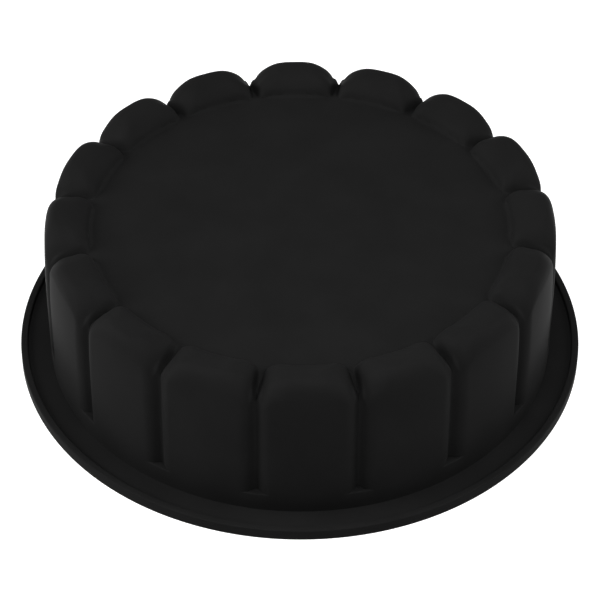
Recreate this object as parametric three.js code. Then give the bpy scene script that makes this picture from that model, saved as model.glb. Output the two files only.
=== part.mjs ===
// Silicone mousse cake mould, lying upside down with its mouth on the table. A flat base panel is ringed by
// ladyfinger flutes. Below them a plain collar runs into a flat rim with a raised bead.
// It is one silicone moulding: each mesh is a zone of it, parted from its neighbours by a hairline.
// Millimetres, +Z up. The origin is the centre of the mouth, in the plane of the rim's face.
import * as THREE from 'three';

const { clamp, lerp, smoothstep } = THREE.MathUtils;

// The moulding
const WALL = 2; // thickness of the silicone
const HAIRLINE = 0.3; // gap between two zones
const RING_SEGMENTS = 80;

// Rim
const RIM_RADIUS = 130;
const FLANGE_THICKNESS = 3;
const BEAD_HEIGHT = 5.3;
const BEAD_WIDTH = 3.3;
const BEAD_EDGE = 0.5; // chamfer along the bead's two top edges

// Collar
const COLLAR_RADIUS = 116.2;
const COLLAR_TOP = 7; // where the collar hands over to the flutes
const LEDGE_HEIGHT = 12.2; // top of the plain band, a small ledge at the foot of each groove
const LEDGE_DROP = 0.4; // fall of that ledge towards its outer edge

// Base panel
const PANEL_RADIUS = 92; // where the panel hands over to the flutes
const PANEL_HEIGHT = 68;

// Flute seen from the front: a level top whose sides curve down to the grooves
const FLUTE_COUNT = 16;
const FLUTE_HALF_WIDTH = 22.1; // half a pitch, measured along the groove's circle
const CREST_HEIGHT = 76.8;
const GROOVE_TOP = 64.5; // height of the groove where it crosses the top
const INNER_LEVEL_HALF = 11; // half of the level part at the inner end of the top
const OUTER_LEVEL_HALF = 7.3; // and at its front edge
const INNER_SIDE_POWER = 2.4; // squareness of the sides at the inner end
const OUTER_SIDE_POWER = 1.85; // and at the front edge
const TOP_CHANGE = [97, 106]; // radii between which the inner end becomes the front edge

// Flute in section: an arched slope up from the panel to the crest, a round front edge and an upright face
const SLOPE_START = 93; // where the panel's level ends
const INNER_FILLET = 7; // height over which the corner between panel and slope is rounded
const FILLET_END = 97; // radius from which it is rounded in full
const INNER_FOOT_RADIUS = 95.4; // where the slope would stand upright
const INNER_HEIGHT = 9; // height of the crest above that place
const EDGE_HEIGHT = 9; // height of the front edge's round
const CREST_EDGE = 5.2; // depth of that round at mid-flute
const CORNER_EDGE = 9; // and at the flute's corners
const CORNER_CHANGE = [3, 18.6]; // distances from the centre line between which one becomes the other
const GROOVE_EDGE = 2.4; // height and depth of the round in the groove
const GROOVE_CHANGE = [19, 21]; // distances from the centre line in which the round shrinks to that
const FACE_TOP_RADIUS = 115;
const FACE_BEND_RANGE = [38, 70.6]; // heights between which the face curves in towards the crest

// Groove between two flutes, down the wall and over the top to a notch in the panel's edge
const GROOVE_RADIUS = 112.5; // circle that runs along the grooves
const GROOVE_SOFTNESS = 2; // width in which the groove's bottom is rounded
const SIDE_ROUND = 6.5; // round of the face's two long edges
const SIDE_ROUND_WIDTH = 5.8;
const NOTCH_END = 107; // where the panel's level has fallen by the notch's depth
const NOTCH_DEPTH = 3;
const NOTCH_FILLET = 2; // height over which the notch's bottom is rounded

// Mesh of a flute
const STATIONS = [-1, -0.94, -0.87, -0.74, -0.5, 0, 0.5, 0.74, 0.87, 0.94, 1];
const SLOPE_STEPS = [0.05, 0.12, 0.18, 0.22, 0.3, 0.42, 0.62, 1]; // shares of the way from panel to crest
const FACE_STEPS = [0.15, 0.35, 0.96, 1]; // shares of the face's height, from its top down
const ROUND_STEPS = 4;
const PROBE = 0.02; // small step across the flute for measuring its slope

const halfPitch = Math.PI / FLUTE_COUNT - HAIRLINE / 2 / GROOVE_RADIUS;

function silicone() {
  return new THREE.MeshStandardMaterial({ color: 0x1c1c1d, roughness: 0.55, metalness: 0 });
}

// Larger of two heights, with the corner rounded where they differ by less than the softness.
function softMaximum(first, second, softness) {
  const overlap = Math.max(softness - Math.abs(first - second), 0);
  const lift = overlap > 0 ? overlap ** 2 / (4 * softness) : 0;
  return Math.max(first, second) + lift;
}

// Distance from a flute's centre line, eased where it reaches the bottom of the groove. It carries on into
// the next flute.
function offsetAt(across) {
  const side = Math.abs(across) > 1 ? 2 - Math.abs(across) : Math.abs(across);
  const offset = side * FLUTE_HALF_WIDTH;
  const easeStart = FLUTE_HALF_WIDTH - GROOVE_SOFTNESS;
  const ease = Math.max(offset - easeStart, 0) / GROOVE_SOFTNESS;
  return Math.min(offset, easeStart) + GROOVE_SOFTNESS * (ease - ease ** 2 / 2);
}

function faceRadius(height) {
  const [start, end] = FACE_BEND_RANGE;
  return lerp(COLLAR_RADIUS, FACE_TOP_RADIUS, clamp((height - start) / (end - start), 0, 1) ** 2);
}

// Section (radius, height) of the outer skin from the panel over the crest and down to the collar, at a
// place across the flute: 0 on its centre line, -1 and 1 in the grooves.
function sectionAt(across) {
  const offset = offsetAt(across);
  const grooveOffset = offsetAt(1);
  const grooveShare = smoothstep(offset, ...GROOVE_CHANGE);
  const fluteEdge = lerp(CREST_EDGE, CORNER_EDGE, smoothstep(offset, ...CORNER_CHANGE));
  const edgeDepth = lerp(fluteEdge, GROOVE_EDGE, grooveShare);
  const edgeHeight = lerp(EDGE_HEIGHT, GROOVE_EDGE, grooveShare);
  const sideStart = grooveOffset - SIDE_ROUND_WIDTH;
  const sideDepth = SIDE_ROUND - Math.sqrt(SIDE_ROUND ** 2 - Math.max(offset - sideStart, 0) ** 2);

  // How much of the flute's height is left here: 1 on the level top, less towards the groove.
  const topShare = (radius) => {
    const change = smoothstep(radius, ...TOP_CHANGE);
    const levelHalf = lerp(INNER_LEVEL_HALF, OUTER_LEVEL_HALF, change);
    const power = lerp(INNER_SIDE_POWER, OUTER_SIDE_POWER, change);
    const lean = Math.max(offset - levelHalf, 0) / (grooveOffset - levelHalf);
    return (1 - lean ** power) ** (1 / power);
  };
  const topHeight = (radius) => lerp(GROOVE_TOP, CREST_HEIGHT, topShare(radius));

  const points = [new THREE.Vector2(PANEL_RADIUS, PANEL_HEIGHT)];
  const crestRadius = FACE_TOP_RADIUS - sideDepth - edgeDepth;
  for (const share of SLOPE_STEPS) {
    const radius = lerp(PANEL_RADIUS, crestRadius, share);
    const reach = Math.min((crestRadius - radius) / (crestRadius - INNER_FOOT_RADIUS), 1);
    const slope = topHeight(radius) - INNER_HEIGHT * (1 - Math.sqrt(1 - reach ** 2));
    const level = PANEL_HEIGHT - NOTCH_DEPTH * smoothstep(radius, SLOPE_START, NOTCH_END);
    const softness = lerp(NOTCH_FILLET, INNER_FILLET, topShare(radius) ** 2)
      * smoothstep(radius, SLOPE_START, FILLET_END);
    points.push(new THREE.Vector2(radius, softMaximum(slope, level, softness)));
  }

  for (let step = 1; step <= ROUND_STEPS; step += 1) {
    const turn = Math.PI / 2 * step / ROUND_STEPS;
    const setback = sideDepth + edgeDepth * (1 - Math.sin(turn));
    const height = topHeight(FACE_TOP_RADIUS - setback) - edgeHeight * (1 - Math.cos(turn));
    points.push(new THREE.Vector2(faceRadius(height) - setback, height));
  }

  const faceTop = points[points.length - 1].y;
  for (const share of FACE_STEPS) {
    const height = lerp(faceTop, LEDGE_HEIGHT, share);
    points.push(new THREE.Vector2(faceRadius(height) - sideDepth, height));
  }

  for (const height of [LEDGE_HEIGHT - LEDGE_DROP, COLLAR_TOP]) {
    points.push(new THREE.Vector2(COLLAR_RADIUS, height));
  }
  return points;
}

// Points of the outer skin at a place across the flute.
function skinAt(across) {
  const angle = across * halfPitch - Math.PI / 2;
  const [outX, outY] = [Math.cos(angle), Math.sin(angle)];
  return sectionAt(across).map(
    ({ x: radius, y: height }) => new THREE.Vector3(radius * outX, radius * outY, height));
}

// Points of the inner skin, each one wall thickness behind a point of the outer skin.
function innerSkinAt(across) {
  const skin = skinAt(across);
  const left = skinAt(across - PROBE);
  const right = skinAt(across + PROBE);
  return skin.map((point, row) => {
    const along = skin[Math.min(row + 1, skin.length - 1)].clone().sub(skin[Math.max(row - 1, 0)]);
    const outward = along.cross(right[row].clone().sub(left[row])).normalize();
    return point.clone().addScaledVector(outward, -WALL);
  });
}

// Closed shell between two like grids of points, each a list of stations that hold the points of every row.
function closedShell(outer, inner) {
  const stations = outer.length;
  const rows = outer[0].length;
  const outerAt = (station, row) => station * rows + row;
  const innerAt = (vertex) => vertex + stations * rows;
  const index = [];
  const quad = (a, b, c, d) => index.push(a, b, c, a, c, d);

  for (let station = 0; station < stations - 1; station += 1) {
    for (let row = 0; row < rows - 1; row += 1) {
      const corners = [
        outerAt(station, row), outerAt(station, row + 1),
        outerAt(station + 1, row + 1), outerAt(station + 1, row),
      ];
      quad(...corners);
      quad(...corners.reverse().map(innerAt));
    }
  }

  const edge = [];
  for (let row = 0; row < rows - 1; row += 1) edge.push(outerAt(0, row));
  for (let station = 0; station < stations - 1; station += 1) edge.push(outerAt(station, rows - 1));
  for (let row = rows - 1; row > 0; row -= 1) edge.push(outerAt(stations - 1, row));
  for (let station = stations - 1; station > 0; station -= 1) edge.push(outerAt(station, 0));
  edge.forEach((from, step) => {
    const to = edge[(step + 1) % edge.length];
    quad(to, from, innerAt(from), innerAt(to));
  });

  const geometry = new THREE.BufferGeometry().setFromPoints([...outer.flat(), ...inner.flat()]);
  geometry.setIndex(index);
  geometry.computeVertexNormals();
  return geometry;
}

// One flute, centred on -Y.
function fluteGeometry() {
  return closedShell(STATIONS.map(skinAt), STATIONS.map(innerSkinAt));
}

// Solid of revolution about Z from (radius, height) points.
function turned(points) {
  const profile = points.map(([radius, height]) => new THREE.Vector2(radius, height));
  return new THREE.LatheGeometry(profile, RING_SEGMENTS).rotateX(Math.PI / 2);
}

function turnedRing(points) {
  return turned([...points, points[0]]);
}

function zone(name, geometry) {
  const mesh = new THREE.Mesh(geometry, silicone());
  mesh.name = name;
  return mesh;
}

// Flat panel that closes the mould
function basePanel() {
  const radius = PANEL_RADIUS - HAIRLINE;
  const under = PANEL_HEIGHT - WALL;
  const section = [[0, under], [radius, under], [radius, PANEL_HEIGHT], [0, PANEL_HEIGHT]];
  return zone('base_panel', turned(section));
}

// Ring of flutes: copies of one flute, turned about the axis
function flutes() {
  const ring = new THREE.Group();
  const geometry = fluteGeometry();
  for (let count = 0; count < FLUTE_COUNT; count += 1) {
    const flute = zone(`flute_${String(count + 1).padStart(2, '0')}`, geometry);
    flute.rotation.z = count * 2 * Math.PI / FLUTE_COUNT;
    ring.add(flute);
  }
  return ring;
}

// Plain band under the flutes, down to the mouth
function footCollar() {
  const inside = COLLAR_RADIUS - WALL;
  const top = COLLAR_TOP - HAIRLINE;
  const section = [[inside, 0], [COLLAR_RADIUS, 0], [COLLAR_RADIUS, top], [inside, top]];
  return zone('foot_collar', turnedRing(section));
}

// Flat flange round the mouth, and the bead along its edge
function rim() {
  const beadInside = RIM_RADIUS - BEAD_WIDTH;
  const flangeInside = COLLAR_RADIUS + HAIRLINE;
  const flangeOutside = beadInside - HAIRLINE;
  const ring = new THREE.Group();
  ring.add(zone('rim_flange', turnedRing([
    [flangeInside, 0],
    [flangeOutside, 0],
    [flangeOutside, FLANGE_THICKNESS],
    [flangeInside, FLANGE_THICKNESS],
  ])));
  ring.add(zone('rim_bead', turnedRing([
    [beadInside, 0],
    [RIM_RADIUS, 0],
    [RIM_RADIUS, BEAD_HEIGHT - BEAD_EDGE],
    [RIM_RADIUS - BEAD_EDGE, BEAD_HEIGHT],
    [beadInside + BEAD_EDGE, BEAD_HEIGHT],
    [beadInside, BEAD_HEIGHT - BEAD_EDGE],
  ])));
  return ring;
}

const mould = new THREE.Group();
mould.add(basePanel(), flutes(), footCollar(), rim());

export default mould;
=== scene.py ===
# Black silicone cake mould, lying on its rim with the mouth down. It is one moulding: its zones are
# modelled as pieces that meet edge to edge, so the skin runs on unbroken from the panel to the bead.
import math

import bpy
from mathutils import Matrix, Vector


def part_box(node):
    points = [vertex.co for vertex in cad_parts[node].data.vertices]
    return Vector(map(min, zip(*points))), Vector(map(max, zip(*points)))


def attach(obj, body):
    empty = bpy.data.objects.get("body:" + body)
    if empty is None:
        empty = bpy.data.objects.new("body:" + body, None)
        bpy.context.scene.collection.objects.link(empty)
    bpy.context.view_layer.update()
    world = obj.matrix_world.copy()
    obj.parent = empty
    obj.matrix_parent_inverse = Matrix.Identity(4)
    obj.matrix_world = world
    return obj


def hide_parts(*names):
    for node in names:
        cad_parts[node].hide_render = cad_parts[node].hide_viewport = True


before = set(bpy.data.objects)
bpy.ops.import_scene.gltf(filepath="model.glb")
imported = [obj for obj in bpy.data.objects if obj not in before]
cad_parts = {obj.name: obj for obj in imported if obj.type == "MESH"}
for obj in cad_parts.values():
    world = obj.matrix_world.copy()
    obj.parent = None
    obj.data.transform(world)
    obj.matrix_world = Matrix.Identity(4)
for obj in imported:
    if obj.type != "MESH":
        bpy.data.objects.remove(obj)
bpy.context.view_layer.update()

bpy.ops.object.select_all(action="DESELECT")

# Base panel: the flat round skin that closes the mould and becomes the top face of the cake. It is black
# food-grade silicone with a fine matte grain from the tool, moulded in one with the flutes round it.
MM = 0.001
HAIRLINE = 0.3 * MM
RING_STEPS = 320
SMOOTH_ANGLE = math.radians(38)
BLOOM_RANGE = (0.3, 0.75)  # values of the cloud between which the bloom goes from none to full
SHADE_RANGE = (0.0119, 0.0143)
ROUGHNESS_RANGE = (0.46, 0.52)
RIPPLE_DEPTH = 0.02 * MM
GRAIN_DEPTH = 0.008 * MM


def black_silicone():
    """Satin black rubber with a faint cloudy bloom, a fine moulded grain and a slow ripple in the skin."""
    material = bpy.data.materials.new("black_silicone")
    material.use_nodes = True
    nodes = material.node_tree.nodes
    links = material.node_tree.links
    shader = nodes["Principled BSDF"]
    shader.inputs["IOR"].default_value = 1.41
    shader.inputs["Specular IOR Level"].default_value = 0.009
    place = nodes.new("ShaderNodeTexCoord").outputs["Object"]

    def cloud(scale, detail):
        noise = nodes.new("ShaderNodeTexNoise")
        noise.inputs["Scale"].default_value = scale
        noise.inputs["Detail"].default_value = detail
        links.new(place, noise.inputs["Vector"])
        return noise.outputs["Fac"]

    def bloomed(factor, values):
        node = nodes.new("ShaderNodeValToRGB")
        for element, position, value in zip(node.color_ramp.elements, BLOOM_RANGE, values):
            element.position = position
            element.color = (value, value, value, 1)
        links.new(factor, node.inputs["Fac"])
        return node.outputs["Color"]

    def bump(height, distance, under=None):
        node = nodes.new("ShaderNodeBump")
        node.inputs["Strength"].default_value = 1
        node.inputs["Distance"].default_value = distance
        links.new(height, node.inputs["Height"])
        if under:
            links.new(under, node.inputs["Normal"])
        return node.outputs["Normal"]

    bloom = cloud(scale=45, detail=5)
    links.new(bloomed(bloom, SHADE_RANGE), shader.inputs["Base Color"])
    links.new(bloomed(bloom, ROUGHNESS_RANGE), shader.inputs["Roughness"])
    ripple = bump(cloud(scale=60, detail=1), RIPPLE_DEPTH)
    grain = bump(cloud(scale=1600, detail=2), GRAIN_DEPTH, ripple)
    links.new(grain, shader.inputs["Normal"])
    return material


silicone = black_silicone()


def dress(piece, name, node):
    """Finishes a zone of the moulding: smooth skin, silicone, and its place in the frame."""
    piece.name = name
    piece.data.name = name
    piece.data.materials.clear()
    piece.data.materials.append(silicone)
    bpy.ops.object.shade_smooth_by_angle(angle=SMOOTH_ANGLE)
    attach(piece, "root")
    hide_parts(node)
    bpy.ops.object.select_all(action="DESELECT")


panel_low, panel_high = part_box("base_panel")
panel_radius = panel_high.x + HAIRLINE
wall = panel_high.z - panel_low.z
PANEL_RINGS = 4
SEAM_LAP = 0.01 * MM  # closes the seam with the flutes, whose edge is divided more finely
LEVEL_FACE = 0.5  # a face lies level where its normal's height is more than this

bpy.ops.mesh.primitive_cylinder_add(
    vertices=RING_STEPS,
    radius=panel_radius + SEAM_LAP,
    depth=wall,
    location=(0, 0, panel_high.z - wall / 2),
)
panel = bpy.context.object
bpy.ops.object.transform_apply()
bpy.ops.object.mode_set(mode="EDIT")
bpy.ops.mesh.select_mode(type="FACE")
bpy.ops.mesh.select_all(action="DESELECT")
bpy.ops.object.mode_set(mode="OBJECT")
for face in panel.data.polygons:
    face.select = abs(face.normal.z) > LEVEL_FACE
bpy.ops.object.mode_set(mode="EDIT")
for ring in range(PANEL_RINGS):
    bpy.ops.mesh.inset(thickness=panel_radius / (PANEL_RINGS + 1), depth=0)
bpy.ops.object.mode_set(mode="OBJECT")
dress(panel, "panel_skin", "base_panel")

# Flutes: sixteen hollow ladyfingers of silicone, moulded in one with the panel. Each has an upright face, a
# level top above the panel and a slope down to it, and its front edge is rounder towards the corners.
# They are lofted section by section, because top, edge round and grooves all change across the width.
FLUTE_COUNT = 16
PITCH = 2 * math.pi / FLUTE_COUNT
collar_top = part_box("flute_01")[0].z
collar_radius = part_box("foot_collar")[1].x
LEDGE_HEIGHT = 12.2 * MM  # top of the plain band, a small ledge at the foot of each groove
LEDGE_ROUND = 0.5 * MM
HALF_WIDTH = 22.1 * MM
CREST_HEIGHT = 76.8 * MM
GROOVE_TOP = 64.5 * MM  # height of the groove where it crosses the top
INNER_LEVEL_HALF = 11 * MM  # half of the level part at the inner end of the top
OUTER_LEVEL_HALF = 7.3 * MM  # and at its front edge
INNER_SIDE_POWER = 2.4  # squareness of the sides at the inner end
OUTER_SIDE_POWER = 1.85  # and at the front edge
TOP_CHANGE = (97 * MM, 106 * MM)  # radii between which the inner end becomes the front edge
SLOPE_START = 93 * MM  # where the panel's level ends
INNER_FILLET = 7 * MM  # height over which the corner between panel and slope is rounded
FILLET_END = 97 * MM  # radius from which it is rounded in full
INNER_FOOT_RADIUS = 95.4 * MM  # where the slope would stand upright
INNER_HEIGHT = 9 * MM  # height of the crest above that place
EDGE_HEIGHT = 9 * MM  # height of the front edge's round
CREST_EDGE = 5.2 * MM  # depth of that round at mid-flute
CORNER_EDGE = 9 * MM  # and at the flute's corners
CORNER_CHANGE = (3 * MM, 18.6 * MM)  # offsets between which one becomes the other
GROOVE_EDGE = 2.4 * MM  # height and depth of the round in the groove
GROOVE_CHANGE = (19 * MM, 21 * MM)  # offsets in which the round shrinks to that
FACE_TOP_RADIUS = 115 * MM
FACE_BEND_RANGE = (38 * MM, 70.6 * MM)  # heights between which the face curves in towards the crest
GROOVE_SOFTNESS = 2 * MM  # width in which the groove's bottom is rounded
SIDE_ROUND = 6.5 * MM  # round of the face's two long edges
SIDE_ROUND_WIDTH = 5.8 * MM
NOTCH_END = 107 * MM  # radius where the panel's level has fallen by the notch's depth
NOTCH_DEPTH = 3 * MM
NOTCH_FILLET = 2 * MM
STRIPS = 56
SLOPE_ROWS = 36
EDGE_ROWS = 16
FACE_ROWS = 16
FOOT_ROWS = 4
MERGE_DISTANCE = 0.001 * MM


def mix(low, high, share):
    return low + (high - low) * share


def smoothstep(value, start, end):
    share = min(max((value - start) / (end - start), 0), 1)
    return share * share * (3 - 2 * share)


def soft_maximum(first, second, softness):
    """Larger of two heights, with the corner rounded where they differ by less than the softness."""
    overlap = max(softness - abs(first - second), 0)
    lift = overlap ** 2 / (4 * softness) if overlap else 0
    return max(first, second) + lift


def side_offset(across):
    """Distance from a flute's centre line, eased where it reaches the bottom of the groove."""
    offset = abs(across) * HALF_WIDTH
    ease_start = HALF_WIDTH - GROOVE_SOFTNESS
    ease = max(offset - ease_start, 0) / GROOVE_SOFTNESS
    return min(offset, ease_start) + GROOVE_SOFTNESS * (ease - ease ** 2 / 2)


def face_radius(height):
    """Radius of the upright face, which curves in towards the crest."""
    bend = (height - FACE_BEND_RANGE[0]) / (FACE_BEND_RANGE[1] - FACE_BEND_RANGE[0])
    return mix(collar_radius, FACE_TOP_RADIUS, min(max(bend, 0), 1) ** 2)


def flute_section(across):
    """Points (radius, height) from the panel over the crest to the collar. 0 is mid-flute, 1 a groove."""
    offset = side_offset(across)
    groove_offset = side_offset(1)

    def top_share(radius):
        """Share of the flute's height that is left here: 1 on the level top, less towards the groove."""
        change = smoothstep(radius, *TOP_CHANGE)
        level_half = mix(INNER_LEVEL_HALF, OUTER_LEVEL_HALF, change)
        power = mix(INNER_SIDE_POWER, OUTER_SIDE_POWER, change)
        lean = max(offset - level_half, 0) / (groove_offset - level_half)
        return max(1 - lean ** power, 0) ** (1 / power)

    groove_share = smoothstep(offset, *GROOVE_CHANGE)
    flute_edge = mix(CREST_EDGE, CORNER_EDGE, smoothstep(offset, *CORNER_CHANGE))
    edge_depth = mix(flute_edge, GROOVE_EDGE, groove_share)
    edge_height = mix(EDGE_HEIGHT, GROOVE_EDGE, groove_share)
    side_start = groove_offset - SIDE_ROUND_WIDTH
    depth = SIDE_ROUND - math.sqrt(SIDE_ROUND ** 2 - max(offset - side_start, 0) ** 2)

    points = [(panel_radius, panel_high.z)]
    crest_radius = FACE_TOP_RADIUS - depth - edge_depth
    for row in range(1, SLOPE_ROWS + 1):
        radius = mix(panel_radius, crest_radius, row / SLOPE_ROWS)
        reach = min((crest_radius - radius) / (crest_radius - INNER_FOOT_RADIUS), 1)
        share = top_share(radius)
        slope = mix(GROOVE_TOP, CREST_HEIGHT, share) - INNER_HEIGHT * (1 - math.sqrt(1 - reach ** 2))
        level = panel_high.z - NOTCH_DEPTH * smoothstep(radius, SLOPE_START, NOTCH_END)
        softness = mix(NOTCH_FILLET, INNER_FILLET, share ** 2)
        softness *= smoothstep(radius, SLOPE_START, FILLET_END)
        points.append((radius, soft_maximum(slope, level, softness)))

    for row in range(1, EDGE_ROWS + 1):
        turn = math.pi / 2 * row / EDGE_ROWS
        setback = depth + edge_depth * (1 - math.sin(turn))
        height = mix(GROOVE_TOP, CREST_HEIGHT, top_share(FACE_TOP_RADIUS - setback))
        height -= edge_height * (1 - math.cos(turn))
        points.append((face_radius(height) - setback, height))
    face_top = height
    for row in range(1, FACE_ROWS + 1):
        height = mix(face_top, LEDGE_HEIGHT, row / FACE_ROWS)
        points.append((face_radius(height) - depth, height))

    foot_radius = points[-1][0]
    for row in range(FOOT_ROWS + 1):
        turn = math.pi / 2 * row / FOOT_ROWS
        radius = collar_radius - LEDGE_ROUND * (1 - math.sin(turn))
        points.append((max(radius, foot_radius), LEDGE_HEIGHT - LEDGE_ROUND * (1 - math.cos(turn))))
    points.append((collar_radius, collar_top))
    return points


row_count = len(flute_section(0))
bpy.ops.mesh.primitive_grid_add(x_subdivisions=STRIPS, y_subdivisions=row_count - 1, size=2)
flute = bpy.context.object
for vertex in flute.data.vertices:
    # The strips are narrower towards the grooves, where the skin turns most.
    across = (vertex.co.x + math.sin(vertex.co.x * math.pi / 2)) / 2
    radius, height = flute_section(across)[round((vertex.co.y + 1) / 2 * (row_count - 1))]
    angle = across * PITCH / 2 - math.pi / 2
    vertex.co = (radius * math.cos(angle), radius * math.sin(angle), height)
bpy.ops.object.mode_set(mode="EDIT")
bpy.ops.mesh.select_all(action="SELECT")
bpy.ops.mesh.remove_doubles(threshold=MERGE_DISTANCE)
bpy.ops.mesh.flip_normals()
bpy.ops.object.mode_set(mode="OBJECT")
skin = flute.modifiers.new("wall", "SOLIDIFY")
skin.thickness = wall
skin.offset = -1
skin.use_even_offset = True
bpy.ops.object.modifier_apply(modifier=skin.name)

for count in range(FLUTE_COUNT):
    copy = flute
    if count:
        copy = flute.copy()
        copy.data = flute.data.copy()
        bpy.context.collection.objects.link(copy)
        copy.data.transform(Matrix.Rotation(count * PITCH, 4, "Z"))
    bpy.context.view_layer.objects.active = copy
    copy.select_set(True)
    dress(copy, f"flute_skin_{count + 1:02d}", f"flute_{count + 1:02d}")

# Foot collar: the plain round silicone band under the flutes, whose lower edge is the mouth of the mould.
# It is turned from its section and meets the flutes and the flange with no break in the skin.
BEVEL_SEGMENTS = 6


def turned_ring(inside, outside, low, high, top_round=0):
    """A ring about the axis with a rectangular section, whose two top edges may be rounded."""
    bpy.ops.mesh.primitive_plane_add(size=1)
    ring = bpy.context.object
    for vertex in ring.data.vertices:
        radius = inside + (vertex.co.x + 0.5) * (outside - inside)
        vertex.co = (radius, 0, low + (vertex.co.y + 0.5) * (high - low))
    bpy.ops.object.mode_set(mode="EDIT")
    bpy.ops.mesh.select_mode(type="VERT")
    if top_round:
        bpy.ops.mesh.select_all(action="DESELECT")
        bpy.ops.object.mode_set(mode="OBJECT")
        for vertex in ring.data.vertices:
            vertex.select = vertex.co.z > (low + high) / 2
        bpy.ops.object.mode_set(mode="EDIT")
        bpy.ops.mesh.bevel(offset=top_round, segments=BEVEL_SEGMENTS, affect="VERTICES")
    bpy.ops.mesh.select_all(action="SELECT")
    bpy.ops.mesh.delete(type="ONLY_FACE")
    bpy.ops.mesh.select_all(action="SELECT")
    bpy.ops.mesh.spin(steps=RING_STEPS, angle=2 * math.pi, center=(0, 0, 0), axis=(0, 0, 1))
    bpy.ops.mesh.select_all(action="SELECT")
    bpy.ops.mesh.remove_doubles(threshold=MERGE_DISTANCE)
    bpy.ops.mesh.normals_make_consistent(inside=False)
    bpy.ops.object.mode_set(mode="OBJECT")
    return ring


collar = turned_ring(collar_radius - wall, collar_radius, 0, collar_top)
dress(collar, "collar_skin", "foot_collar")

# Rim flange: the flat silicone flange round the mouth, which lies on the table and stiffens the mould.
# It is turned too, and runs from the foot of the collar to the bead.
flange_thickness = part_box("rim_flange")[1].z
rim_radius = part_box("rim_bead")[1].x
bead_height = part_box("rim_bead")[1].z
BEAD_WIDTH = 3.3 * MM
bead_inside = rim_radius - BEAD_WIDTH
flange = turned_ring(collar_radius, bead_inside, 0, flange_thickness)
dress(flange, "flange_skin", "rim_flange")

# Rim bead: the raised silicone bead along the edge of the flange, gripped when the mould is carried.
# It is turned with its two top edges rounded, as they are to leave the tool cleanly.
BEAD_ROUND = 0.7 * MM
bead = turned_ring(bead_inside, rim_radius, 0, bead_height, BEAD_ROUND)
dress(bead, "bead_skin", "rim_bead")

# Floor: a plain white sheet under the mould, which keeps the mould's shadow.
# It is white where it is seen, straight or in a reflection, and lights the mould as grey paper would.
FLOOR_SIZE = 6
FLOOR_DROP = 0.2 * MM


def white_where_seen(tree, strength):
    """Sets a strength to 1 for rays that look at a surface, straight or reflected, and else to 0."""
    path = tree.nodes.new("ShaderNodeLightPath")
    seen = path.outputs["Is Camera Ray"]
    for name in ("Is Glossy Ray", "Is Transmission Ray"):
        add = tree.nodes.new("ShaderNodeMath")
        add.use_clamp = True
        tree.links.new(seen, add.inputs[0])
        tree.links.new(path.outputs[name], add.inputs[1])
        seen = add.outputs["Value"]
    tree.links.new(seen, strength)


bpy.ops.mesh.primitive_plane_add(size=FLOOR_SIZE, location=(0, 0, -FLOOR_DROP))
floor = bpy.context.object
floor.name = "floor"
paper = bpy.data.materials.new("white_paper")
paper.use_nodes = True
floor.data.materials.append(paper)
paper_nodes = paper.node_tree.nodes
paper_links = paper.node_tree.links
sheet = paper_nodes["Principled BSDF"]
sheet.inputs["Base Color"].default_value = (0.5, 0.5, 0.5, 1)
sheet.inputs["Roughness"].default_value = 1
sheet.inputs["Specular IOR Level"].default_value = 0
glow = paper_nodes.new("ShaderNodeEmission")
white_where_seen(paper.node_tree, glow.inputs["Strength"])
both = paper_nodes.new("ShaderNodeAddShader")
paper_links.new(sheet.outputs["BSDF"], both.inputs[0])
paper_links.new(glow.outputs["Emission"], both.inputs[1])
paper_links.new(both.outputs["Shader"], paper_nodes["Material Output"].inputs["Surface"])

# Light: soft boxes over and round the table, in a room that is white where it is seen.
# The side boxes brighten the upright faces, and the other two the panel and the front.


def soft_box(name, azimuth, elevation, distance, size, power):
    """An area lamp that faces the mould, placed by its direction from it in degrees."""
    turn = math.radians(azimuth)
    lift = math.radians(elevation)
    level_reach = math.cos(lift)
    direction = Vector((level_reach * math.sin(turn), -level_reach * math.cos(turn), math.sin(lift)))
    bpy.ops.object.light_add(type="AREA", location=direction * distance)
    lamp = bpy.context.object
    lamp.name = name
    lamp.data.shape = "RECTANGLE"
    lamp.data.size, lamp.data.size_y = size
    lamp.data.energy = power
    lamp.rotation_euler = direction.to_track_quat("Z", "Y").to_euler()


soft_box("overhead_box", azimuth=0, elevation=88, distance=1.4, size=(0.7, 0.7), power=5.4)
soft_box("front_box", azimuth=0, elevation=48, distance=0.7, size=(0.6, 0.3), power=2.1)
soft_box("left_box", azimuth=-85, elevation=25, distance=1.3, size=(0.8, 0.8), power=12.4)
soft_box("right_box", azimuth=85, elevation=25, distance=1.3, size=(0.8, 0.8), power=7.6)

world = bpy.data.worlds.new("white_room")
bpy.context.scene.world = world
world.use_nodes = True
room = world.node_tree.nodes["Background"]
room.inputs["Color"].default_value = (1, 1, 1, 1)
white_where_seen(world.node_tree, room.inputs["Strength"])

# Camera: where the photograph was taken from, above the front flute and a little to its left.
# It looks at a point on the mould's axis, with a slight roll.
CAMERA_TURN = math.radians(-1.724)
CAMERA_LIFT = math.radians(41.906)
CAMERA_ROLL = math.radians(0.25)
CAMERA_DISTANCE = 1170 * MM
AIM_HEIGHT = 22.11 * MM
CAMERA_LENS = 151.5

stance = Matrix.Rotation(CAMERA_TURN, 3, "Z") @ Matrix.Rotation(math.pi / 2 - CAMERA_LIFT, 3, "X")
stance = stance @ Matrix.Rotation(CAMERA_ROLL, 3, "Z")
aim = Vector((0, 0, AIM_HEIGHT))
eye = aim + stance @ Vector((0, 0, CAMERA_DISTANCE))
bpy.ops.object.camera_add(location=eye, rotation=stance.to_euler())
camera = bpy.context.object
camera.data.lens = CAMERA_LENS
bpy.context.scene.camera = camera
bpy.context.scene.view_settings.view_transform = "Standard"
